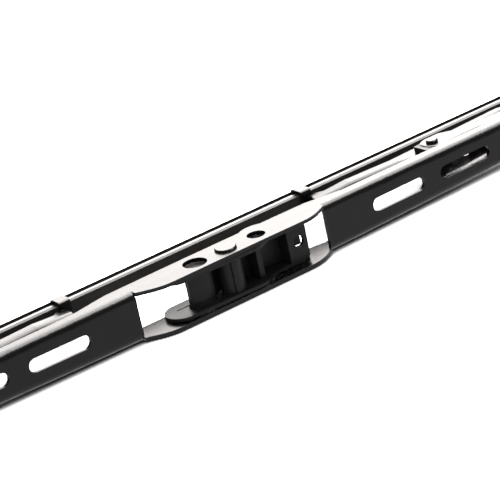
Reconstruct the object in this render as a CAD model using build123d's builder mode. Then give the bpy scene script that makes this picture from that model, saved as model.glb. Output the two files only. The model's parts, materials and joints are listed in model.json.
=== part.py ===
from build123d import *
import os

# Wiper blade lying on its side, millimetres. X runs along the blade, Y from the bridge
# to the rubber lip, Z across it. The origin is the arm pin's axis at mid width.

# Whole blade
claw_pitch = 77.2
rubber_overhang = 22.0
rail_end_margin = 1.5

# Main bridge, a pressed steel channel
bridge_sheet = 1.0
taper_end_run = 11.8
pin_setback = 1.05
arch_overrun = 3.8
arch_rise = 3.1
arm_depth = 3.95
bend_radius = 2.0
waist_rear_y = 5.15
waist_left_x = 34.0
waist_right_x = 29.0
waist_run = 13.0
lobe_x = 11.2
lobe_radius = 6.15
window_length = 59.5
window_shift = 0.95
hump_rise = 3.4
hump_left_run = 6.4
hump_right_run = 5.6
hump_round = 12.8
slot_length = 17.8
slot_width = 3.7
slot_shift = 1.45
slot_first_x = 53.85
slot_pitch = 23.65
side_hole_x = 9.685
large_side_hole = 6.4
small_side_hole = 4.9
ear_radius = 4.4
ear_neck_run = 17.8
ear_shoulder_x = 3.5
ear_shoulder_y = 2.65

# Pivots
main_pivot_y = 7.6
claw_pivot_y = 11.0
rivet_clearance = 0.05
seat_clearance = 0.02
arm_pin_radius = 2.0
arm_pin_head_radius = 2.9
arm_pin_head = 0.65
arm_pin_tail = 0.3
main_rivet_radius = 1.6
main_rivet_head_radius = 2.7
main_rivet_head = 0.6
claw_rivet_radius = 1.2
claw_rivet_head_radius = 1.65
claw_rivet_head = 0.85
head_edge = 0.25

# Levers, pressed from thinner sheet
lever_sheet = 0.9
lever_bend_radius = 0.8
side_half_arm = 3.7
fork_end_run = 6.8
fork_root_run = 9.3
side_taper_run = 5.2
fork_radius = 4.1
fork_shift = 0.7
fork_rear_run = 3.8
side_waist_run = 10.8
side_waist_y = 11.1
side_waist_depth = 3.4
side_waist_round = 4.1
side_pivot_front = 2.8
side_pivot_rear = 4.5
side_tip_front_y = 13.6
side_tip_depth = 1.7
side_crown = 5.0
side_front_radius = 14.0
claw_lever_half = 2.9
claw_lever_front = 2.5
claw_lever_shoulder = 12.0
claw_lever_shoulder_y = 11.5
claw_lever_tip_y = 13.2
claw_lever_rear_y = 15.2
claw_lever_drop = 1.0
claw_lever_crown = 3.4
claw_lever_front_radius = 5.0
claw_lever_bend = 1.9
claw_lever_tip_half = 2.0
claw_lever_taper_run = 11.0
claw_lever_foot = 2.0
claw_lever_foot_run = 2.4
claw_lever_rear_rise = 1.3
claw_lever_rear_round = 1.5
side_foot = 6.0
side_foot_run = 9.0

# Plastic bushes between levers
claw_bush_radius = 4.5
claw_bush_side = 0.71
bush_shoe = 1.1
bush_shoe_gap = 0.1
bush_shoe_drop = 0.1
bush_shoe_rear = 2.3
main_bush_radius = 5.2
main_bush_side = 0.7
bush_wall = 0.7

# Rubber, its two steel rails, and the claws that hold them
head_back_y = 18.74
head_depth = 2.85
head_half = 3.0
neck_depth = 1.65
neck_half = 0.8
shoulder_edge = 0.25
shoulder_depth = 2.7
shoulder_root_half = 0.95
lip_depth = 2.2
lip_half = 0.35
rail_thickness = 0.9
rail_width = 2.0
rail_cover = 0.35
claw_length = 3.3
claw_overhang = 1.2
end_claw_length = 5.0
claw_side_gap = 0.2
claw_hook_reach = 1.2
claw_hook_gap = 0.2

# Plastic hook adapter in the window
hook_gap_half = 4.55
adapter_wall = 0.9
adapter_side_gap = 0.33
adapter_left_x = 15.2
adapter_end_radius = 4.9
adapter_end_y = 1.4
adapter_right_x = 24.6
adapter_corner = 2.2
adapter_front_y = 1.1
adapter_crown_y = 4.3
adapter_step_x = 7.4
adapter_step_run = 5.6
adapter_step_round = 4.0
nose_left_x = 12.9
nose_right_x = 5.8
nose_bulge = 1.4
nose_wall = 1.2
nose_collar = 0.3
nose_collar_height = 0.9
boss_radius = 3.3
boss_slit_x = 1.4
boss_slit_width = 0.4
boss_slit_depth = 0.6
back_wall_y = 3.4
back_wall = 1.3
snap_mouth = 3.0
rib_x = 8.55
rib_width = 1.5
end_frame_width = 0.9
end_plate_left_x = 18.2
end_plate_right_x = 23.9
end_plate_depth = 0.9
end_hole_x = 21.2
end_hole_z = 0.5
end_hole = 3.1
end_stop_low_z = -2.5
split_x = 14.3
split_length = 4.2
split_width = 0.5
split_y = 2.65

main_pivot_x = 1.5 * claw_pitch
claw_pivot_x = claw_pitch
inner_claw_x = 0.5 * claw_pitch
outer_claw_x = 1.5 * claw_pitch
end_claw_x = 2.5 * claw_pitch
taper_end_x = main_pivot_x - taper_end_run
ear_neck_x = main_pivot_x - ear_neck_run
fork_x = claw_pivot_x + fork_shift
fork_end_x = claw_pivot_x + fork_end_run
fork_root_x = claw_pivot_x + fork_root_run
side_waist_x = claw_pivot_x + side_waist_run
web_mid_y = -pin_setback
web_end_y = web_mid_y + arch_rise
window_left_x = window_shift - window_length / 2
window_right_x = window_shift + window_length / 2
hump_y = web_mid_y - hump_rise
adapter_half = hook_gap_half + adapter_wall
bridge_inner_mid = adapter_half + adapter_side_gap
bridge_half_mid = bridge_inner_mid + bridge_sheet
side_bush_inner = side_half_arm + seat_clearance
side_bush_outer = side_bush_inner + main_bush_side
bridge_inner_end = side_bush_outer + seat_clearance
bridge_half_end = bridge_inner_end + bridge_sheet
bush_inner = claw_lever_half + seat_clearance
bush_outer = bush_inner + claw_bush_side
side_half_fork = bush_outer + seat_clearance + lever_sheet
bridge_end_x = main_pivot_x + ear_radius
arch_span = bridge_end_x + arch_overrun
rubber_length = 2 * (end_claw_x + rubber_overhang)
front_facing = 0.7
claw_back_y = head_back_y - lever_sheet
claw_half = head_half + claw_side_gap + lever_sheet
head_rear_y = head_back_y + head_depth
claw_hook_y = head_rear_y + claw_hook_gap
shoulder_y = head_rear_y + neck_depth
rail_y = head_rear_y - rail_cover - rail_thickness / 2
lip_root_y = shoulder_y + shoulder_depth
lip_tip_y = lip_root_y + lip_depth
reach = lip_tip_y + bridge_half_mid

os.makedirs("parts", exist_ok=True)

# Hollow of the main bridge, with the window open to the front
with BuildPart() as bridge_hollow:
    with BuildSketch(Plane.XY):
        with BuildLine():
            web_inside = ThreePointArc(
                (-arch_span, web_end_y + bridge_sheet),
                (0, web_mid_y + bridge_sheet),
                (arch_span, web_end_y + bridge_sheet),
            )
            Polyline(web_inside @ 1, (arch_span, reach), (-arch_span, reach), web_inside @ 0)
        make_face()
        with Locations((window_shift, 0)):
            Rectangle(window_length, reach)
    extrude(amount=reach, both=True)
    with BuildSketch(Plane.XZ):
        with BuildLine():
            inner_top = ThreePointArc(
                (-taper_end_x, bridge_inner_end), (0, bridge_inner_mid), (taper_end_x, bridge_inner_end)
            )
            inner_low = ThreePointArc(
                (-taper_end_x, -bridge_inner_end), (0, -bridge_inner_mid), (taper_end_x, -bridge_inner_end)
            )
            Polyline(
                inner_top @ 1,
                (arch_span, bridge_inner_end),
                (arch_span, -bridge_inner_end),
                inner_low @ 1,
            )
            Polyline(
                inner_top @ 0,
                (-arch_span, bridge_inner_end),
                (-arch_span, -bridge_inner_end),
                inner_low @ 0,
            )
        make_face()
    extrude(amount=reach, both=True, mode=Mode.INTERSECT)

# Block with the bridge's plan width, used to trim its cheeks
with BuildPart() as bridge_plan:
    with BuildSketch(Plane.XZ):
        with BuildLine():
            outer_top = ThreePointArc(
                (-taper_end_x, bridge_half_end), (0, bridge_half_mid), (taper_end_x, bridge_half_end)
            )
            outer_low = ThreePointArc(
                (-taper_end_x, -bridge_half_end), (0, -bridge_half_mid), (taper_end_x, -bridge_half_end)
            )
            Polyline(
                outer_top @ 1,
                (bridge_end_x, bridge_half_end),
                (bridge_end_x, -bridge_half_end),
                outer_low @ 1,
            )
            Polyline(
                outer_top @ 0,
                (-bridge_end_x, bridge_half_end),
                (-bridge_end_x, -bridge_half_end),
                outer_low @ 0,
            )
        make_face()
    extrude(amount=reach, both=True)

# Raised front edges of the two cheeks beside the window
with BuildPart() as hump_cheeks:
    with BuildSketch(Plane.XY):
        with BuildLine():
            Polyline(
                (window_left_x, web_mid_y + arm_depth / 2),
                (window_left_x, web_mid_y),
                (window_left_x + hump_left_run, hump_y),
                (window_right_x - hump_right_run, hump_y),
                (window_right_x, web_mid_y),
                (window_right_x, web_mid_y + arm_depth / 2),
                close=True,
            )
        make_face()
        hump_corners = vertices().filter_by(lambda v: v.Y < web_mid_y - hump_rise / 2)
        fillet(hump_corners, radius=hump_round)
    extrude(amount=reach, both=True)
    add(bridge_plan.part, mode=Mode.INTERSECT)
    add(bridge_hollow.part, mode=Mode.SUBTRACT)

with BuildPart() as main_bridge:
    with BuildSketch(Plane.XY):
        with Locations((lobe_x, 0)):
            Circle(lobe_radius)
        with Locations((lobe_x, -lobe_radius)):
            Rectangle(2 * lobe_radius, 2 * lobe_radius, mode=Mode.SUBTRACT)
        with BuildLine():
            web_face = ThreePointArc((-arch_span, web_end_y), (0, web_mid_y), (arch_span, web_end_y))
            arm_rear = ThreePointArc(
                (-arch_span, web_end_y + arm_depth),
                (0, web_mid_y + arm_depth),
                (arch_span, web_end_y + arm_depth),
            )
            Line(web_face @ 1, arm_rear @ 1)
            Line(web_face @ 0, arm_rear @ 0)
        make_face()
        with BuildLine():
            Polyline(
                (-waist_left_x - waist_run, web_mid_y + arm_depth),
                (-waist_left_x, waist_rear_y),
                (waist_right_x, waist_rear_y),
                (waist_right_x + waist_run, web_mid_y + arm_depth),
                close=True,
            )
        make_face()
        with Locations((main_pivot_x, main_pivot_y), (-main_pivot_x, main_pivot_y)):
            Circle(ear_radius)
        for side in (-1, 1):
            with BuildLine():
                Polyline(
                    (side * ear_neck_x, web_mid_y + arm_depth),
                    (side * (main_pivot_x - ear_shoulder_x), main_pivot_y + ear_shoulder_y),
                    (side * bridge_end_x, main_pivot_y),
                    (side * bridge_end_x, web_end_y + bridge_sheet),
                    close=True,
                )
            make_face()
    extrude(amount=reach, both=True)
    add(bridge_plan.part, mode=Mode.INTERSECT)
    web_fronts = faces().filter_by(lambda f: f.normal_at().Y < -front_facing)
    outer_bends = web_fronts.edges().filter_by(lambda e: abs(e.center().Z) > bridge_half_end / 2)
    fillet(outer_bends, radius=bend_radius)
    add(bridge_hollow.part, mode=Mode.SUBTRACT)
    add(hump_cheeks.part)
    with BuildSketch(Plane.XZ):
        for side in (-1, 1):
            with Locations((slot_shift + side * slot_first_x, 0)):
                SlotOverall(slot_length, slot_width)
            with Locations((slot_shift + side * (slot_first_x + slot_pitch), 0)):
                SlotOverall(slot_length, slot_width)
    extrude(amount=reach, both=True, mode=Mode.SUBTRACT)
    with BuildSketch(Plane.XY):
        Circle(arm_pin_radius + seat_clearance)
        with Locations((-side_hole_x, 0)):
            Circle(large_side_hole / 2)
        with Locations((side_hole_x, 0)):
            Circle(small_side_hole / 2)
        with Locations((main_pivot_x, main_pivot_y), (-main_pivot_x, main_pivot_y)):
            Circle(main_rivet_radius + seat_clearance)
    extrude(amount=reach, both=True, mode=Mode.SUBTRACT)
main_bridge.part.label = "main_bridge"
export_step(main_bridge.part, "parts/main_bridge.step")

# Arm pin riveted across the window
with BuildPart() as arm_pin:
    with BuildSketch(Plane.XY):
        Circle(arm_pin_radius)
    extrude(amount=bridge_half_mid, both=True)
    with BuildSketch(Plane.XY.offset(bridge_half_mid)):
        Circle(arm_pin_head_radius)
    extrude(amount=arm_pin_head)
    with BuildSketch(Plane.XY.offset(-bridge_half_mid)):
        Circle(arm_pin_head_radius)
    extrude(amount=-arm_pin_tail)
    chamfer(edges().group_by(Axis.Z)[-1], length=head_edge)
    chamfer(edges().group_by(Axis.Z)[0], length=head_edge)
arm_pin.part.label = "arm_pin"
export_step(arm_pin.part, "parts/arm_pin.step")

# Claw section, open towards the lip, at the three claw places of the right half
with BuildPart() as claws:
    for claw_x, length in (
        (inner_claw_x, claw_length),
        (outer_claw_x, claw_length),
        (end_claw_x, end_claw_length),
    ):
        with BuildSketch(Plane.YZ.offset(claw_x - length / 2)):
            with Locations(((claw_back_y + claw_hook_y + lever_sheet) / 2, 0)):
                Rectangle(claw_hook_y + lever_sheet - claw_back_y, 2 * claw_half)
            fillet(vertices(), radius=lever_sheet)
            with Locations(((head_back_y + claw_hook_y) / 2, 0)):
                Rectangle(claw_hook_y - head_back_y, 2 * (claw_half - lever_sheet), mode=Mode.SUBTRACT)
            with Locations((claw_hook_y, 0)):
                Rectangle(2 * lever_sheet + claw_hook_gap, 2 * claw_hook_reach, mode=Mode.SUBTRACT)
        extrude(amount=length)

# Side lever, a tapered channel with a fork at its inner end and a claw at its outer end
side_tip_x = end_claw_x + end_claw_length / 2
side_front = (
    Vector(fork_x, claw_pivot_y - fork_radius),
    Vector(side_waist_x + fork_radius, side_waist_y - side_waist_depth),
    Vector(main_pivot_x - side_crown, main_pivot_y - side_pivot_front),
    Vector(main_pivot_x + side_crown, main_pivot_y - side_pivot_front),
    Vector(side_tip_x, side_tip_front_y),
)
side_foot_x = side_tip_x - side_foot
side_taper_x = main_pivot_x - side_taper_run
side_arm_rear = main_pivot_y + side_pivot_rear
sheet_shift = Vector(0, lever_sheet)
side_inside_points = [point + sheet_shift for point in side_front]

with BuildPart() as side_hollow:
    with BuildSketch(Plane.XY):
        with BuildLine():
            side_inside = FilletPolyline(side_inside_points, radius=side_front_radius)
            Polyline(
                side_inside @ 1,
                (side_tip_x + reach, side_tip_front_y),
                (side_tip_x + reach, 2 * reach),
                (fork_x, 2 * reach),
                side_inside @ 0,
            )
        make_face()
        with Locations((fork_root_x - reach / 2, claw_pivot_y)):
            Rectangle(reach, 2 * reach)
    extrude(amount=reach, both=True)
    with BuildSketch(Plane.XZ):
        with BuildLine():
            Polyline(
                (fork_root_x - reach, side_half_fork - lever_sheet),
                (fork_end_x, side_half_fork - lever_sheet),
                (side_taper_x, side_half_arm - lever_sheet),
                (side_tip_x + reach, side_half_arm - lever_sheet),
                (side_tip_x + reach, -side_half_arm + lever_sheet),
                (side_taper_x, -side_half_arm + lever_sheet),
                (fork_end_x, -side_half_fork + lever_sheet),
                (fork_root_x - reach, -side_half_fork + lever_sheet),
                close=True,
            )
        make_face()
    extrude(amount=2 * reach, both=True, mode=Mode.INTERSECT)

with BuildPart() as side_lever_right:
    with BuildSketch(Plane.XY):
        with BuildLine():
            side_face = FilletPolyline(side_front, radius=side_front_radius)
            Polyline(
                side_face @ 1,
                (side_tip_x, claw_back_y + lever_sheet / 2),
                (side_foot_x, claw_back_y + lever_sheet / 2),
                (side_foot_x - side_foot_run, side_tip_front_y + side_tip_depth),
                (main_pivot_x, side_arm_rear),
                (side_waist_x, side_waist_y),
                (claw_pivot_x + fork_rear_run, claw_pivot_y + fork_radius),
                (fork_x, claw_pivot_y + fork_radius),
                side_face @ 0,
            )
        make_face()
        waist_corner = vertices().sort_by_distance((side_waist_x, side_waist_y))[0]
        fillet(waist_corner, radius=side_waist_round)
        with Locations((fork_x, claw_pivot_y)):
            Circle(fork_radius)
    extrude(amount=reach, both=True)
    with BuildSketch(Plane.XZ):
        with BuildLine():
            Polyline(
                (fork_root_x - reach, side_half_fork),
                (fork_end_x, side_half_fork),
                (side_taper_x, side_half_arm),
                (side_tip_x, side_half_arm),
                (side_tip_x, -side_half_arm),
                (side_taper_x, -side_half_arm),
                (fork_end_x, -side_half_fork),
                (fork_root_x - reach, -side_half_fork),
                close=True,
            )
        make_face()
    extrude(amount=2 * reach, both=True, mode=Mode.INTERSECT)
    front_faces = faces().filter_by(lambda f: f.normal_at().Y < -front_facing)
    front_bends = front_faces.edges().filter_by(lambda e: abs(e.center().Z) > side_half_arm / 2)
    fillet(front_bends, radius=lever_bend_radius)
    add(side_hollow.part, mode=Mode.SUBTRACT)
    add(claws.part.solids().sort_by(Axis.X)[-1])
    with BuildSketch(Plane.XY):
        with Locations((claw_pivot_x, claw_pivot_y)):
            Circle(claw_rivet_radius + seat_clearance)
        with Locations((main_pivot_x, main_pivot_y)):
            Circle(main_rivet_radius + rivet_clearance)
    extrude(amount=reach, both=True, mode=Mode.SUBTRACT)
side_lever_right.part.label = "side_lever_right"
export_step(side_lever_right.part, "parts/side_lever_right.step")

with BuildPart() as side_lever_left:
    mirror(side_lever_right.part, about=Plane.YZ)
side_lever_left.part.label = "side_lever_left"
export_step(side_lever_left.part, "parts/side_lever_left.step")

# Claw lever, a narrow arched channel with a claw at each end
lever_start_x = inner_claw_x + claw_length / 2 - claw_overhang
lever_end_x = outer_claw_x - claw_length / 2 + claw_overhang
lever_front = (
    Vector(lever_start_x, claw_lever_tip_y),
    Vector(claw_pivot_x - claw_lever_shoulder, claw_lever_shoulder_y),
    Vector(claw_pivot_x - claw_lever_crown, claw_pivot_y - claw_lever_front),
    Vector(claw_pivot_x + claw_lever_crown, claw_pivot_y - claw_lever_front),
    Vector(claw_pivot_x + claw_lever_shoulder, claw_lever_shoulder_y + claw_lever_drop),
    Vector(lever_end_x, claw_lever_tip_y + claw_lever_drop),
)
foot_y = claw_back_y + lever_sheet / 2
rear_run = claw_lever_foot + claw_lever_foot_run
inner_rear = Vector(lever_start_x + rear_run, claw_lever_rear_y + claw_lever_rear_rise)
outer_rear = Vector(lever_end_x - rear_run, claw_lever_rear_y + claw_lever_drop + claw_lever_rear_rise)
lever_inside_points = [point + sheet_shift for point in lever_front]


def claw_lever_plan(inset):
    with BuildSketch(Plane.XZ) as plan:
        with BuildLine():
            Polyline(
                (lever_start_x - reach, 0),
                (lever_start_x - reach, claw_lever_tip_half - inset),
                (lever_start_x, claw_lever_tip_half - inset),
                (lever_start_x + claw_lever_taper_run, claw_lever_half - inset),
                (lever_end_x - claw_lever_taper_run, claw_lever_half - inset),
                (lever_end_x, claw_lever_tip_half - inset),
                (lever_end_x + reach, claw_lever_tip_half - inset),
                (lever_end_x + reach, 0),
                close=True,
            )
        make_face()
        mirror(about=Plane.XZ)
    return plan.sketch


with BuildPart() as claw_lever_hollow:
    with BuildSketch(Plane.XY):
        with BuildLine():
            lever_inside = FilletPolyline(lever_inside_points, radius=claw_lever_front_radius)
            Polyline(
                lever_inside @ 1,
                (lever_end_x + reach, claw_lever_tip_y + claw_lever_drop + lever_sheet),
                (lever_end_x + reach, 2 * reach),
                (lever_start_x - reach, 2 * reach),
                (lever_start_x - reach, claw_lever_tip_y + lever_sheet),
                lever_inside @ 0,
            )
        make_face()
    extrude(amount=reach, both=True)
    extrude(claw_lever_plan(lever_sheet), amount=2 * reach, both=True, mode=Mode.INTERSECT)
    inner_edges = edges().filter_by(lambda e: e.center().Y < claw_lever_rear_y)
    inner_bends = inner_edges.filter_by(lambda e: abs(e.center().Z) > claw_lever_half / 4)
    fillet(inner_bends, radius=claw_lever_bend - lever_sheet)

with BuildPart() as claw_lever_right:
    with BuildSketch(Plane.XY):
        with BuildLine():
            lever_face = FilletPolyline(lever_front, radius=claw_lever_front_radius)
            Polyline(
                lever_face @ 1,
                (lever_end_x, foot_y),
                (lever_end_x - claw_lever_foot, foot_y),
                outer_rear,
                (claw_pivot_x + claw_lever_shoulder, claw_lever_rear_y + claw_lever_drop),
                (claw_pivot_x - claw_lever_shoulder, claw_lever_rear_y),
                inner_rear,
                (lever_start_x + claw_lever_foot, foot_y),
                (lever_start_x, foot_y),
                lever_face @ 0,
            )
        make_face()
        for corner in (inner_rear, outer_rear):
            fillet(vertices().sort_by_distance(corner)[0], radius=claw_lever_rear_round)
    extrude(amount=reach, both=True)
    extrude(claw_lever_plan(0), amount=2 * reach, both=True, mode=Mode.INTERSECT)
    front_edges = edges().filter_by(lambda e: e.center().Y < claw_lever_rear_y - lever_sheet)
    bends = front_edges.filter_by(lambda e: abs(e.center().Z) > claw_lever_half / 2)
    fillet(bends, radius=claw_lever_bend)
    add(claw_lever_hollow.part, mode=Mode.SUBTRACT)
    with BuildSketch(Plane.XY):
        for strap_x in (lever_start_x + claw_lever_foot / 2, lever_end_x - claw_lever_foot / 2):
            with Locations((strap_x, claw_back_y + lever_sheet / 2)):
                Rectangle(claw_lever_foot, lever_sheet)
    extrude(amount=claw_lever_tip_half, both=True)
    add(claws.part.solids().sort_by(Axis.X)[0:2])
    with BuildSketch(Plane.XY):
        with Locations((claw_pivot_x, claw_pivot_y)):
            Circle(claw_rivet_radius + rivet_clearance)
    extrude(amount=reach, both=True, mode=Mode.SUBTRACT)
claw_lever_right.part.label = "claw_lever_right"
export_step(claw_lever_right.part, "parts/claw_lever_right.step")

with BuildPart() as claw_lever_left:
    mirror(claw_lever_right.part, about=Plane.YZ)
claw_lever_left.part.label = "claw_lever_left"
export_step(claw_lever_left.part, "parts/claw_lever_left.step")

# Rivets of the main pivots, with a head each side
with BuildPart() as main_rivet_right:
    with BuildSketch(Plane.XY):
        with Locations((main_pivot_x, main_pivot_y)):
            Circle(main_rivet_radius)
    extrude(amount=bridge_half_end, both=True)
    for plane in (Plane.XY.offset(bridge_half_end), Plane.XY.offset(-bridge_half_end).rotated((180, 0, 0))):
        with BuildSketch(plane):
            with Locations((main_pivot_x, main_pivot_y * plane.z_dir.Z)):
                Circle(main_rivet_head_radius)
        extrude(amount=main_rivet_head)
    chamfer(edges().group_by(Axis.Z)[-1], length=head_edge)
    chamfer(edges().group_by(Axis.Z)[0], length=head_edge)
main_rivet_right.part.label = "main_rivet_right"
export_step(main_rivet_right.part, "parts/main_rivet_right.step")

with BuildPart() as main_rivet_left:
    mirror(main_rivet_right.part, about=Plane.YZ)
main_rivet_left.part.label = "main_rivet_left"
export_step(main_rivet_left.part, "parts/main_rivet_left.step")

# Rivets of the claw lever pivots
with BuildPart() as claw_rivet_right:
    with BuildSketch(Plane.XY):
        with Locations((claw_pivot_x, claw_pivot_y)):
            Circle(claw_rivet_radius)
    extrude(amount=side_half_fork, both=True)
    for plane in (Plane.XY.offset(side_half_fork), Plane.XY.offset(-side_half_fork).rotated((180, 0, 0))):
        with BuildSketch(plane):
            with Locations((claw_pivot_x, claw_pivot_y * plane.z_dir.Z)):
                Circle(claw_rivet_head_radius)
        extrude(amount=claw_rivet_head)
    chamfer(edges().group_by(Axis.Z)[-1], length=head_edge)
    chamfer(edges().group_by(Axis.Z)[0], length=head_edge)
claw_rivet_right.part.label = "claw_rivet_right"
export_step(claw_rivet_right.part, "parts/claw_rivet_right.step")

with BuildPart() as claw_rivet_left:
    mirror(claw_rivet_right.part, about=Plane.YZ)
claw_rivet_left.part.label = "claw_rivet_left"
export_step(claw_rivet_left.part, "parts/claw_rivet_left.step")

# Plastic bush that straddles the claw lever inside the fork, with a square shoe against the fork's ends
bush_front_y = claw_pivot_y - claw_lever_front - seat_clearance
shoe_reach = fork_radius + bush_shoe_gap + bush_shoe
with BuildPart() as claw_bush_right:
    with BuildSketch(Plane.XY):
        with Locations((claw_pivot_x, claw_pivot_y)):
            Circle(claw_bush_radius)
            Circle(claw_rivet_radius + rivet_clearance, mode=Mode.SUBTRACT)
    extrude(amount=bush_outer, both=True)
    with BuildSketch(Plane.XY):
        with Locations((fork_x - shoe_reach / 2, claw_pivot_y + (bush_shoe_rear - fork_radius) / 2)):
            Rectangle(shoe_reach, fork_radius + bush_shoe_rear)
        with Locations((fork_x, claw_pivot_y)):
            Circle(fork_radius + bush_shoe_gap, mode=Mode.SUBTRACT)
    extrude(amount=side_half_fork - bush_shoe_drop, both=True)
    with BuildSketch(Plane.XY):
        with Locations((claw_pivot_x, bush_front_y + reach / 2)):
            Rectangle(reach, reach)
        with Locations((claw_pivot_x, bush_front_y - bush_wall - reach / 2)):
            Rectangle(reach, reach)
        with Locations((claw_pivot_x - claw_lever_crown - reach / 2, bush_front_y)):
            Rectangle(reach, reach)
        with Locations((claw_pivot_x + claw_lever_crown + reach / 2, bush_front_y)):
            Rectangle(reach, reach)
    extrude(amount=bush_inner, both=True, mode=Mode.SUBTRACT)
claw_bush_right.part.label = "claw_bush_right"
export_step(claw_bush_right.part, "parts/claw_bush_right.step")

with BuildPart() as claw_bush_left:
    mirror(claw_bush_right.part, about=Plane.YZ)
claw_bush_left.part.label = "claw_bush_left"
export_step(claw_bush_left.part, "parts/claw_bush_left.step")

# Plastic bush that straddles the side lever inside the bridge's end
side_bush_front_y = main_pivot_y - side_pivot_front - seat_clearance
with BuildPart() as main_bush_right:
    with BuildSketch(Plane.XY):
        with Locations((main_pivot_x, main_pivot_y)):
            Circle(main_bush_radius)
            Circle(main_rivet_radius + rivet_clearance, mode=Mode.SUBTRACT)
        with Locations((main_pivot_x, side_bush_front_y - bush_wall - reach / 2)):
            Rectangle(reach, reach, mode=Mode.SUBTRACT)
    extrude(amount=side_bush_outer, both=True)
    with BuildSketch(Plane.XY):
        with Locations((main_pivot_x, side_bush_front_y + reach / 2)):
            Rectangle(reach, reach)
    extrude(amount=side_bush_inner, both=True, mode=Mode.SUBTRACT)
main_bush_right.part.label = "main_bush_right"
export_step(main_bush_right.part, "parts/main_bush_right.step")

with BuildPart() as main_bush_left:
    mirror(main_bush_right.part, about=Plane.YZ)
main_bush_left.part.label = "main_bush_left"
export_step(main_bush_left.part, "parts/main_bush_left.step")

# Rubber squeegee, one extrusion with a slot each side for the rails
with BuildPart() as rubber_squeegee:
    with BuildSketch(Plane.YZ):
        with Locations((head_back_y + head_depth / 2, 0)):
            Rectangle(head_depth, 2 * head_half)
        for side in (-1, 1):
            with Locations((rail_y, side * (head_half - rail_width / 2))):
                Rectangle(rail_thickness, rail_width, mode=Mode.SUBTRACT)
        with Locations((head_rear_y + neck_depth / 2, 0)):
            Rectangle(neck_depth, 2 * neck_half)
        with BuildLine():
            Polyline(
                (shoulder_y, -head_half),
                (shoulder_y, head_half),
                (shoulder_y + shoulder_edge, head_half),
                (lip_root_y, shoulder_root_half),
                (lip_tip_y, lip_half),
                (lip_tip_y, -lip_half),
                (lip_root_y, -shoulder_root_half),
                (shoulder_y + shoulder_edge, -head_half),
                close=True,
            )
        make_face()
    extrude(amount=rubber_length / 2, both=True)
rubber_squeegee.part.label = "rubber_squeegee"
export_step(rubber_squeegee.part, "parts/rubber_squeegee.step")

# Spring steel rails in the rubber's slots
with BuildPart() as rail_upper:
    with BuildSketch(Plane.YZ):
        with Locations((rail_y, head_half - rail_width / 2)):
            Rectangle(rail_thickness, rail_width)
    extrude(amount=rubber_length / 2 - rail_end_margin, both=True)
rail_upper.part.label = "rail_upper"
export_step(rail_upper.part, "parts/rail_upper.step")

with BuildPart() as rail_lower:
    mirror(rail_upper.part, about=Plane.XY)
rail_lower.part.label = "rail_lower"
export_step(rail_lower.part, "parts/rail_lower.step")

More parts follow.
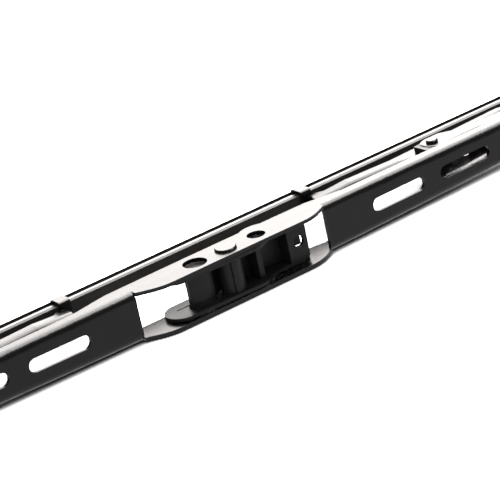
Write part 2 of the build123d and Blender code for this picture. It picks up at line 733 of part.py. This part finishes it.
# Plastic hook adapter that snaps on the arm pin
plate_front_y = adapter_end_y - adapter_end_radius
plate_rear_y = adapter_end_y + adapter_end_radius
with BuildPart() as hook_adapter:
    with BuildSketch(Plane.XY):
        with BuildLine():
            Polyline(
                (-adapter_left_x, plate_front_y),
                (adapter_step_x, -adapter_crown_y),
                (adapter_step_x + adapter_step_run, -adapter_front_y),
                (adapter_right_x, -adapter_front_y),
                (adapter_right_x, plate_rear_y),
                (-adapter_left_x, plate_rear_y),
                close=True,
            )
        make_face()
        fillet(vertices().group_by(Axis.X)[-1], radius=adapter_corner)
        step_middle_x = adapter_step_x + adapter_step_run / 2
        step_corners = vertices().filter_by(lambda v: abs(v.X - step_middle_x) < adapter_step_run)
        fillet(step_corners, radius=adapter_step_round)
        with Locations((-adapter_left_x, adapter_end_y)):
            Circle(adapter_end_radius)
        with Locations((-split_x, split_y)):
            SlotOverall(split_length, split_width, mode=Mode.SUBTRACT)
    extrude(amount=adapter_half, both=True)
    with BuildSketch(Plane.XY):
        Rectangle(2 * reach, reach)
    extrude(amount=hook_gap_half, both=True, mode=Mode.SUBTRACT)
    with BuildSketch(Plane.XY):
        with BuildLine():
            nose_front = ThreePointArc(
                (-nose_left_x, -adapter_front_y + nose_bulge),
                (-(nose_left_x + nose_right_x) / 2, -adapter_front_y),
                (-nose_right_x, -adapter_front_y + nose_bulge / 2),
            )
            nose_rear = ThreePointArc(
                (-nose_left_x, -adapter_front_y + nose_bulge + nose_wall),
                (-(nose_left_x + nose_right_x) / 2, -adapter_front_y + nose_wall),
                (-nose_right_x, -adapter_front_y + nose_bulge / 2 + nose_wall),
            )
            Line(nose_front @ 0, nose_rear @ 0)
            Line(nose_front @ 1, nose_rear @ 1)
        make_face()
        nose_side_depth = back_wall_y + back_wall - (nose_front @ 1).Y
        with Locations((-nose_right_x - nose_wall / 2, (nose_front @ 1).Y + nose_side_depth / 2)):
            Rectangle(nose_wall, nose_side_depth)
        Circle(boss_radius)
        with Locations((-boss_slit_x, -boss_radius)):
            Rectangle(boss_slit_width, 2 * boss_slit_depth, mode=Mode.SUBTRACT)
        with Locations(((end_plate_left_x - nose_right_x) / 2, back_wall_y + back_wall / 2)):
            Rectangle(end_plate_left_x + nose_right_x, back_wall)
        with Locations((rib_x, (back_wall_y - adapter_front_y) / 2)):
            Rectangle(rib_width, back_wall_y + adapter_front_y)
        with Locations((end_plate_left_x, (back_wall_y + back_wall - adapter_front_y) / 2)):
            Rectangle(end_frame_width, back_wall_y + back_wall + adapter_front_y)
        with Locations(((end_plate_left_x + end_plate_right_x) / 2, end_plate_depth / 2 - adapter_front_y)):
            Rectangle(end_plate_right_x - end_plate_left_x, end_plate_depth)
    extrude(amount=hook_gap_half, both=True)
    for plane, amount in (
        (Plane.XY.offset(-hook_gap_half), nose_collar_height),
        (Plane.XY.offset(hook_gap_half), -nose_collar_height),
    ):
        with BuildSketch(plane):
            with BuildLine():
                collar_front = ThreePointArc(
                    (-nose_left_x - nose_collar, -adapter_front_y + nose_bulge),
                    (-(nose_left_x + nose_right_x) / 2, -adapter_front_y - nose_collar),
                    (-nose_right_x, -adapter_front_y + nose_bulge / 2 - nose_collar),
                )
                Polyline(
                    collar_front @ 1,
                    (-nose_right_x, -adapter_front_y + nose_bulge + nose_wall),
                    (-nose_left_x - nose_collar, -adapter_front_y + nose_bulge + nose_wall),
                    collar_front @ 0,
                )
            make_face()
        extrude(amount=amount)
    with BuildSketch(Plane.XY):
        Circle(arm_pin_radius + rivet_clearance)
        with Locations((0, plate_rear_y / 2)):
            Rectangle(snap_mouth, plate_rear_y)
    extrude(amount=reach, both=True, mode=Mode.SUBTRACT)
    with BuildSketch(Plane.XZ):
        with Locations((end_hole_x, end_hole_z)):
            Circle(end_hole / 2)
    extrude(amount=reach, both=True, mode=Mode.SUBTRACT)
    with BuildSketch(Plane.XY.offset(end_stop_low_z)):
        with Locations(((end_plate_left_x + adapter_right_x) / 2, back_wall_y + back_wall / 2)):
            Rectangle(adapter_right_x - end_plate_left_x, back_wall)
    extrude(amount=hook_gap_half - end_stop_low_z)
hook_adapter.part.label = "hook_adapter"
export_step(hook_adapter.part, "parts/hook_adapter.step")
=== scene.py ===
import json
import math

import bmesh
import bpy
from mathutils import Matrix, Vector


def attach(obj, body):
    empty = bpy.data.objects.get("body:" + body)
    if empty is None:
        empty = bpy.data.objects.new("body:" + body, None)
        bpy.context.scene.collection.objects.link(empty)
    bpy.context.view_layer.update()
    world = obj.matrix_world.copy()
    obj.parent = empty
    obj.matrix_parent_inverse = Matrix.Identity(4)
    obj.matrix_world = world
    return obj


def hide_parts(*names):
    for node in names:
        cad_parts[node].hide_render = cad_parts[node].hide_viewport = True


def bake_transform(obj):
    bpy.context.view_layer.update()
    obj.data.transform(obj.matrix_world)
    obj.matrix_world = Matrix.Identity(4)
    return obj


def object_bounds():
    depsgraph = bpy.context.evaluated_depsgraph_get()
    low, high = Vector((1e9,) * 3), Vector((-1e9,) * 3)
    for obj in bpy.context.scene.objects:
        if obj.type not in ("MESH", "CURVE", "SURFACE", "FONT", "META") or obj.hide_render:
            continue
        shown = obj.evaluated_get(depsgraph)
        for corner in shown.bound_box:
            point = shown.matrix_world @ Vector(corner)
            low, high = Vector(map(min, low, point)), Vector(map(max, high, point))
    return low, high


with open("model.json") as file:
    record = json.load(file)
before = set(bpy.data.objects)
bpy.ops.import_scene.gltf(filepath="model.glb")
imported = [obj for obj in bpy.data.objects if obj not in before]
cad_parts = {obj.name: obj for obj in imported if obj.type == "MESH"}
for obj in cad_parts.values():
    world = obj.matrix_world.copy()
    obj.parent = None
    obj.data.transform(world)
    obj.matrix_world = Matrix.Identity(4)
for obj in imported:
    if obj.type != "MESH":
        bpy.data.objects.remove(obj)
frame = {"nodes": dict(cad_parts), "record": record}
cadBox = [list(corner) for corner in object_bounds()]
nodes = frame["nodes"]
scene = bpy.context.scene
mm = 0.001
micron = 1e-6
print("frame loaded:", len(nodes), "solids")


def linear(hexColour):
    channels = [int(hexColour[i:i + 2], 16) / 255 for i in (1, 3, 5)]
    return [c / 12.92 if c <= 0.04045 else ((c + 0.055) / 1.055) ** 2.4 for c in channels] + [1.0]


def emptyTree(owner):
    owner.use_nodes = True
    owner.node_tree.nodes.clear()
    return owner.node_tree


# Settings are sockets, ramp stops or the node's own properties
def addNode(tree, kind, settings=None, links=None):
    node = tree.nodes.new(kind)
    for key, value in (settings or {}).items():
        if key == "stops":
            for element, (place, colour) in zip(node.color_ramp.elements, value):
                element.position = place
                element.color = linear(colour)
        elif isinstance(key, int) or key in node.inputs:
            node.inputs[key].default_value = value
        else:
            setattr(node, key, value)
    for key, socket in (links or {}).items():
        tree.links.new(socket, node.inputs[key])
    return node


def newMaterial(name, gloss):
    material = bpy.data.materials.new(name)
    tree = emptyTree(material)
    shader = addNode(tree, "ShaderNodeBsdfPrincipled", gloss)
    addNode(tree, "ShaderNodeOutputMaterial", links={"Surface": shader.outputs["BSDF"]})
    coords = addNode(tree, "ShaderNodeTexCoord").outputs["Object"]
    return material, tree, shader, coords


# Colour and roughness both follow one pattern of the finish
def followPattern(tree, shader, look, pattern):
    tint = addNode(tree, "ShaderNodeValToRGB", {"stops": look["tint"]}, {"Fac": pattern})
    tree.links.new(tint.outputs["Color"], shader.inputs["Base Color"])
    smoothest, roughest = look["roughness"]
    rough = addNode(tree, "ShaderNodeMapRange", {"To Min": smoothest, "To Max": roughest}, {"Value": pattern})
    tree.links.new(rough.outputs["Result"], shader.inputs["Roughness"])


# Satin black stoving paint on pressed steel: bright at a low angle, with faint orange peel and softened edges
paintLook = {
    "tint": [(0.3, "#0c0c0d"), (0.7, "#131314")], "cloudMm": 11, "roughness": (0.258, 0.282),
    "peelMm": 1.4, "peelMicrons": 3, "peelStrength": 0.25, "edgeMm": 0.15, "edgeSamples": 8,
    "gloss": {"IOR": 1.5, "Specular IOR Level": 0.28},
}


def makePaint(look):
    material, tree, shader, coords = newMaterial("satin black stoving paint", look["gloss"])
    cloud = addNode(tree, "ShaderNodeTexNoise", {"Scale": 1 / (look["cloudMm"] * mm), "Detail": 3.0},
                    {"Vector": coords})
    followPattern(tree, shader, look, cloud.outputs["Fac"])
    peel = addNode(tree, "ShaderNodeTexNoise", {"Scale": 1 / (look["peelMm"] * mm), "Detail": 2.0},
                   {"Vector": coords})
    edge = addNode(tree, "ShaderNodeBevel", {"samples": look["edgeSamples"], "Radius": look["edgeMm"] * mm})
    bump = addNode(tree, "ShaderNodeBump",
                   {"Strength": look["peelStrength"], "Distance": look["peelMicrons"] * micron},
                   {"Height": peel.outputs["Fac"], "Normal": edge.outputs["Normal"]})
    tree.links.new(bump.outputs["Normal"], shader.inputs["Normal"])
    return material


# Extruded natural rubber: dull black, with fine draw lines along its length and a little pale bloom
rubberLook = {
    "tint": [(0.35, "#3a3837"), (0.75, "#484644")], "bloomMm": 6, "roughness": (0.4, 0.52),
    "lineMm": 0.25, "lineStretch": (0.02, 1, 1), "lineMicrons": 8, "lineStrength": 0.3,
    "gloss": {"IOR": 1.52, "Specular IOR Level": 0.12},
}


def makeRubber(look):
    material, tree, shader, coords = newMaterial("extruded black rubber", look["gloss"])
    bloom = addNode(tree, "ShaderNodeTexNoise", {"Scale": 1 / (look["bloomMm"] * mm), "Detail": 4.0},
                    {"Vector": coords})
    followPattern(tree, shader, look, bloom.outputs["Fac"])
    stretch = addNode(tree, "ShaderNodeMapping", {"Scale": look["lineStretch"]}, {"Vector": coords})
    lines = addNode(tree, "ShaderNodeTexNoise", {"Scale": 1 / (look["lineMm"] * mm), "Detail": 3.0},
                    {"Vector": stretch.outputs["Vector"]})
    bump = addNode(tree, "ShaderNodeBump",
                   {"Strength": look["lineStrength"], "Distance": look["lineMicrons"] * micron},
                   {"Height": lines.outputs["Fac"]})
    tree.links.new(bump.outputs["Normal"], shader.inputs["Normal"])
    return material


# Hardened and tempered flat wire: a smooth dark grey metal, with rolling streaks along it
railLook = {
    "tint": [(0.3, "#545455"), (0.7, "#6e6e6d")], "roughness": (0.26, 0.42),
    "streakMm": 0.3, "streakStretch": (0.01, 1, 1), "gloss": {"Metallic": 1.0},
}


def makeRailSteel(look):
    material, tree, shader, coords = newMaterial("tempered spring steel", look["gloss"])
    stretch = addNode(tree, "ShaderNodeMapping", {"Scale": look["streakStretch"]}, {"Vector": coords})
    streaks = addNode(tree, "ShaderNodeTexNoise", {"Scale": 1 / (look["streakMm"] * mm), "Detail": 2.0},
                      {"Vector": stretch.outputs["Vector"]})
    followPattern(tree, shader, look, streaks.outputs["Fac"])
    return material


# Moulded black acetal: smooth and a little waxy, with a fine spark-eroded grain
plasticLook = {
    "tint": [(0.3, "#212122"), (0.7, "#2b2b2c")], "flowMm": 5, "roughness": (0.33, 0.45),
    "grainMm": 0.35, "grainMicrons": 4, "grainStrength": 0.25,
    "gloss": {"IOR": 1.48, "Specular IOR Level": 0.2},
}


def makePlastic(look):
    material, tree, shader, coords = newMaterial("moulded black acetal", look["gloss"])
    flow = addNode(tree, "ShaderNodeTexNoise", {"Scale": 1 / (look["flowMm"] * mm), "Detail": 2.0},
                   {"Vector": coords})
    followPattern(tree, shader, look, flow.outputs["Fac"])
    grain = addNode(tree, "ShaderNodeTexNoise", {"Scale": 1 / (look["grainMm"] * mm), "Detail": 2.0},
                    {"Vector": coords})
    bump = addNode(tree, "ShaderNodeBump",
                   {"Strength": look["grainStrength"], "Distance": look["grainMicrons"] * micron},
                   {"Height": grain.outputs["Fac"]})
    tree.links.new(bump.outputs["Normal"], shader.inputs["Normal"])
    return material


# Black oxide on headed steel: dark and semi-bright, with a fine mottle
rivetLook = {
    "tint": [(0.35, "#171718"), (0.7, "#2b2b2c")], "mottleMm": 0.8, "roughness": (0.2, 0.36),
    "gloss": {"IOR": 1.5, "Specular IOR Level": 0.3},
}


def makeRivetSteel(look):
    material, tree, shader, coords = newMaterial("black oxide steel", look["gloss"])
    mottle = addNode(tree, "ShaderNodeTexNoise", {"Scale": 1 / (look["mottleMm"] * mm), "Detail": 4.0},
                     {"Vector": coords})
    followPattern(tree, shader, look, mottle.outputs["Fac"])
    return material


rubber = makeRubber(rubberLook)
railSteel = makeRailSteel(railLook)
slotMaterials = {
    "black_paint": makePaint(paintLook), "black_rubber": rubber, "spring_steel": railSteel,
    "black_plastic": makePlastic(plasticLook), "black_steel": makeRivetSteel(rivetLook),
}
for entry in frame["record"]["subparts"]:
    solid = nodes[entry["node"]]
    solid.data.materials.clear()
    solid.data.materials.append(slotMaterials[entry["material_slot"]])
print("materials assigned")


def placePiece(name, bm, material):
    mesh = bpy.data.meshes.new(name)
    bm.to_mesh(mesh)
    bm.free()
    mesh.materials.append(material)
    piece = bpy.data.objects.new(name, mesh)
    scene.collection.objects.link(piece)
    return piece


# Rubber and rails are drawn in lengths between the claws. The mid and span lengths follow the lever that
# holds them, and the tips stay where they are drawn.
# Places are in mm from the arm pin's axis, along the blade and towards the lip, and halves from mid width
wiperLook = {
    "claws": (38.6, 115.8, 193.0), "end": 215.0, "railEnd": 213.5,
    "headBack": 18.74, "headRear": 21.59, "rearRound": 0.2, "headHalf": 3.0, "neckHalf": 0.8,
    "shoulder": 23.24, "shoulderEdge": 0.25, "lipRoot": 25.94, "lipRootHalf": 0.95,
    "lipTip": 28.14, "lipHalf": 0.35, "rubberRound": 0.06,
    "railFront": 20.34, "railRear": 21.24, "railDeep": 1.0, "railRound": 0.12,
    "tongue": 1.6, "tongueInset": 0.02, "sharpDegrees": 20, "cuts": 19,
}


def lengthwise(bm):
    return [e for e in bm.edges if abs(e.verts[0].co.x - e.verts[1].co.x) > mm]


def growAlong(bm, faces, reach):
    grown = bmesh.ops.extrude_face_region(bm, geom=faces)
    moved = [v for v in grown["geom"] if isinstance(v, bmesh.types.BMVert)]
    bmesh.ops.translate(bm, verts=moved, vec=(reach * mm, 0, 0))


# A hidden tongue keeps the joint with the next length closed when the blade bows
def addTongue(bm, end, reach, inset):
    cap = [f for f in bm.faces if all(abs(v.co.x - end * mm) < 0.1 * micron for v in f.verts)]
    bmesh.ops.inset_region(bm, faces=cap, thickness=inset * mm, use_even_offset=True)
    growAlong(bm, cap, reach)
    bmesh.ops.delete(bm, geom=cap, context="FACES_ONLY")


def drawLength(name, outline, x0, x1, cornerRound, material, d):
    bm = bmesh.new()
    corners = [bm.verts.new((x0 * mm, y * mm, z * mm)) for y, z in outline]
    growAlong(bm, [bm.faces.new(corners)], x1 - x0)
    bmesh.ops.recalc_face_normals(bm, faces=bm.faces)
    sharp = [e for e in lengthwise(bm) if e.calc_face_angle(0) > math.radians(d["sharpDegrees"])]
    bmesh.ops.bevel(bm, geom=sharp, offset=cornerRound * mm, offset_type="OFFSET", affect="EDGES",
                    segments=2, profile=0.5, material=-1)
    bmesh.ops.subdivide_edges(bm, edges=lengthwise(bm), cuts=d["cuts"], use_grid_fill=True)
    if name.endswith("_mid"):
        addTongue(bm, x0, -d["tongue"], d["tongueInset"])
        addTongue(bm, x1, d["tongue"], d["tongueInset"])
    return placePiece(name, bm, material)


def rubberOutline(d):
    half = [
        (d["headBack"], d["headHalf"]), (d["railFront"], d["headHalf"]), (d["railFront"], d["railDeep"]),
        (d["railRear"], d["railDeep"]), (d["railRear"], d["headHalf"]),
        (d["headRear"] - d["rearRound"], d["headHalf"]), (d["headRear"], d["headHalf"] - d["rearRound"]),
        (d["headRear"], d["neckHalf"]), (d["shoulder"], d["neckHalf"]), (d["shoulder"], d["headHalf"]),
        (d["shoulder"] + d["shoulderEdge"], d["headHalf"]), (d["lipRoot"], d["lipRootHalf"]),
        (d["lipTip"], d["lipHalf"]),
    ]
    return half + [(y, -z) for y, z in reversed(half)]


def railOutline(d, side):
    low, high = sorted((side * d["railDeep"], side * d["headHalf"]))
    return [(d["railFront"], low), (d["railFront"], high), (d["railRear"], high), (d["railRear"], low)]


def drawWiper(d):
    inner, outer, last = d["claws"]
    lengths = [("mid", -inner, inner, "wiping_element", None)]
    for side, hand in ((1, "right"), (-1, "left")):
        lengths.append(("span_" + hand, side * inner, side * outer, "claw_" + hand, None))
        lengths.append(("tip_" + hand, side * outer, side * d["end"], "claw_" + hand, "side_" + hand))
    parts = [("rubber", rubberOutline(d), d["rubberRound"], rubber, "black_rubber", "rubber_squeegee"),
             ("upper_rail", railOutline(d, 1), d["railRound"], railSteel, "spring_steel", "rail_upper"),
             ("lower_rail", railOutline(d, -1), d["railRound"], railSteel, "spring_steel", "rail_lower")]
    for part, outline, cornerRound, material, slotName, node in parts:
        for label, x0, x1, body, farBody in lengths:
            if part != "rubber" and abs(x1) > outer:
                x1 = math.copysign(d["railEnd"], x1)
            low, high = min(x0, x1), max(x0, x1)
            piece = drawLength(part + "_" + label, outline, low, high, cornerRound, material, d)
            if farBody:
                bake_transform(piece)
            else:
                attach(piece, body)
            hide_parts(node)


drawWiper(wiperLook)
print("rubber and rails drawn")

# White sweep under an even sky and one softbox from the back. Boxes without fill show only in reflections.
# The back reflection stands a little nearer, because two boxes in one place don't add up
studio = {
    "floor": "#f6f6f6", "floorHalf": 4.0, "overexposed": 8.0, "paintedShadowMm": 3.4, "paintedShadowPower": 2.0,
    "sky": 0.65, "mirroredSky": 0.3, "lean": 0.481,
    "softboxes": [
        {"name": "back_softbox", "tint": "#fffbf8", "angle": 25, "span": 46, "width": 0.55,
         "distance": 0.85, "radiance": 3.2, "fill": True},
        {"name": "back_reflection", "tint": "#fffbf8", "angle": 25, "span": 46, "width": 0.55,
         "distance": 0.83, "radiance": 5.0, "fill": False},
        {"name": "top_softbox", "tint": "#fffcfa", "angle": 78, "span": 60, "width": 0.5,
         "distance": 0.85, "radiance": 18.0, "fill": False},
    ],
}


# Matt white paper: overexposed for the camera, with a painted contact shadow, and plain white in reflections
def makePaper(d):
    material = bpy.data.materials.new("matt white paper")
    tree = emptyTree(material)
    path = addNode(tree, "ShaderNodeLightPath").outputs
    paper = addNode(tree, "ShaderNodeBsdfDiffuse", {"Color": linear(d["floor"])})
    white = addNode(tree, "ShaderNodeEmission", {"Strength": 1.0})
    # Painted shadow: an ambient occlusion node darkens the floor's colour near the object into a contact
    # shadow, on top of the lamps' own shadows
    paintedShadowAO = addNode(tree, "ShaderNodeAmbientOcclusion", {"Distance": d["paintedShadowMm"] * mm})
    paintedShadowDeepened = addNode(tree, "ShaderNodeMath", {"operation": "POWER", 1: d["paintedShadowPower"]},
                     {0: paintedShadowAO.outputs["AO"]})
    paintedShadowColour = addNode(tree, "ShaderNodeMath", {"operation": "MULTIPLY", 1: d["overexposed"]},
                     {0: paintedShadowDeepened.outputs["Value"]})
    bright = addNode(tree, "ShaderNodeBsdfDiffuse", links={"Color": paintedShadowColour.outputs["Value"]})
    mirrored = addNode(tree, "ShaderNodeMath", {"operation": "MAXIMUM"},
                       {0: path["Is Glossy Ray"], 1: path["Is Transmission Ray"]})
    reflected = addNode(tree, "ShaderNodeMixShader", links={
        "Fac": mirrored.outputs["Value"], 1: paper.outputs["BSDF"], 2: white.outputs["Emission"]})
    seen = addNode(tree, "ShaderNodeMixShader", links={
        "Fac": path["Is Camera Ray"], 1: reflected.outputs["Shader"], 2: bright.outputs["BSDF"]})
    addNode(tree, "ShaderNodeOutputMaterial", links={"Surface": seen.outputs["Shader"]})
    return material


def setFloor(d):
    bm = bmesh.new()
    bmesh.ops.create_grid(bm, x_segments=1, y_segments=1, size=d["floorHalf"])
    bmesh.ops.translate(bm, verts=bm.verts, vec=(0, 0, cadBox[0][2]))
    floor = placePiece("white_sweep", bm, makePaper(d))


def addSoftbox(box, lean):
    angle = math.radians(box["angle"])
    rise = math.sqrt(1 - lean ** 2)
    towards = Vector((lean, rise * math.cos(angle), rise * math.sin(angle)))
    along = Vector((0, -math.sin(angle), math.cos(angle)))
    length = 2 * box["distance"] * math.tan(math.radians(box["span"]) / 2)
    light = bpy.data.lights.new(box["name"], "AREA")
    light.shape = "RECTANGLE"
    light.size = box["width"]
    light.size_y = length
    light.color = linear(box["tint"])[:3]
    light.energy = box["radiance"] * math.pi * box["width"] * length
    lamp = bpy.data.objects.new(box["name"], light)
    turn = Matrix((along.cross(towards), along, towards)).transposed()
    lamp.matrix_world = Matrix.Translation(towards * box["distance"]) @ turn.to_4x4()
    lamp.visible_diffuse = box["fill"]
    scene.collection.objects.link(lamp)


def setStudio(d):
    scene.world = bpy.data.worlds.new("studio")
    tree = emptyTree(scene.world)
    path = addNode(tree, "ShaderNodeLightPath").outputs
    sky = addNode(tree, "ShaderNodeBackground", {"Strength": d["sky"]})
    mirrored = addNode(tree, "ShaderNodeBackground", {"Strength": d["mirroredSky"]})
    both = addNode(tree, "ShaderNodeMixShader", links={
        "Fac": path["Is Glossy Ray"], 1: sky.outputs["Background"], 2: mirrored.outputs["Background"]})
    addNode(tree, "ShaderNodeOutputWorld", links={"Surface": both.outputs["Shader"]})
    for box in d["softboxes"]:
        addSoftbox(box, d["lean"])


setFloor(studio)
setStudio(studio)
print("studio set")

# Camera fitted to the photograph: angles in degrees, lengths in mm, focal length in pixels of the image
view = {
    "azimuth": 31.266, "elevation": 21.946, "roll": 12.29, "distance": 652.836,
    "target": (6.331, -1.05, 4.015), "focalPixels": 2573.04, "imagePixels": 500, "sensor": 36.0,
}


def setCamera(d):
    az, el, roll = (math.radians(d[k]) for k in ("azimuth", "elevation", "roll"))
    forward = Vector((math.sin(az) * math.cos(el), math.cos(az) * math.cos(el), -math.sin(el)))
    right = Vector((math.cos(az), -math.sin(az), 0))
    up = right.cross(forward)
    across = math.cos(roll) * right - math.sin(roll) * up
    upright = math.sin(roll) * right + math.cos(roll) * up
    data = bpy.data.cameras.new("photo_camera")
    data.sensor_width = d["sensor"]
    data.lens = d["focalPixels"] / d["imagePixels"] * d["sensor"]
    data.clip_start = 10 * mm
    camera = bpy.data.objects.new("photo_camera", data)
    place = (Vector(d["target"]) - d["distance"] * forward) * mm
    turn = Matrix((across, upright, -forward)).transposed()
    camera.matrix_world = Matrix.Translation(place) @ turn.to_4x4()
    scene.collection.objects.link(camera)
    scene.camera = camera


setCamera(view)
scene.view_settings.view_transform = "Standard"
print("camera set")
